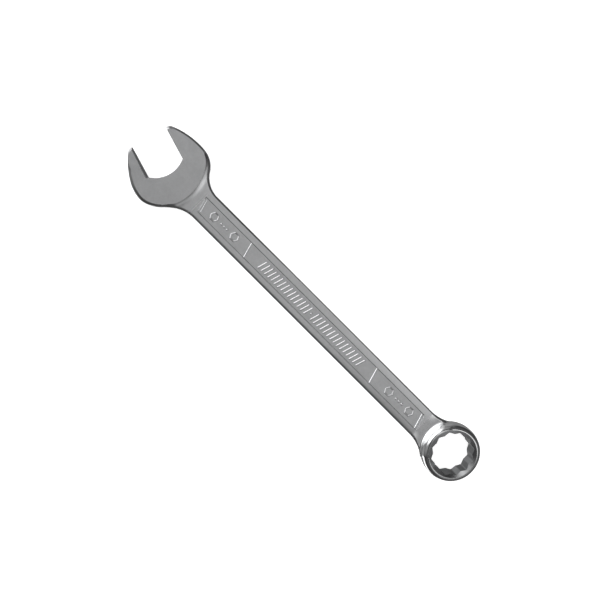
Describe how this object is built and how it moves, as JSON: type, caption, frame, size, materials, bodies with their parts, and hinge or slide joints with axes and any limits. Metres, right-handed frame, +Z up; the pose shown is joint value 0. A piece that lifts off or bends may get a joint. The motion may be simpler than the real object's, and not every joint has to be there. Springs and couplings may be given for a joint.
{
  "type": "combination wrench",
  "caption": "Combination wrench: an open jaw turned to the shank at one end and a tilted twelve-point ring at the other, with recessed panels and raised relief on the shank.",
  "frame": {"origin": "bottom centre of the bounding box, on the surface the wrench lies on", "axes": "+X along the shank from the open end to the box end, +Y across the shank towards the longer upper jaw side, +Z up; the tool lies on its jaw tip and box ring, so its shank rises 1.26 degrees towards +X"},
  "size_m": [0.2504, 0.0432, 0.0192],
  "materials": {
    "satin_chrome": "satin chrome plate",
    "polished_chrome": "polished chrome plate",
    "relief_chrome": "satin chrome plate over raised relief"
  },
  "bodies": {
    "root": {"open_end_head": "satin_chrome", "shank": "satin_chrome", "box_end_ring": "polished_chrome", "panel_marks_front": "relief_chrome", "panel_marks_back": "relief_chrome"}
  },
  "joints": []
}
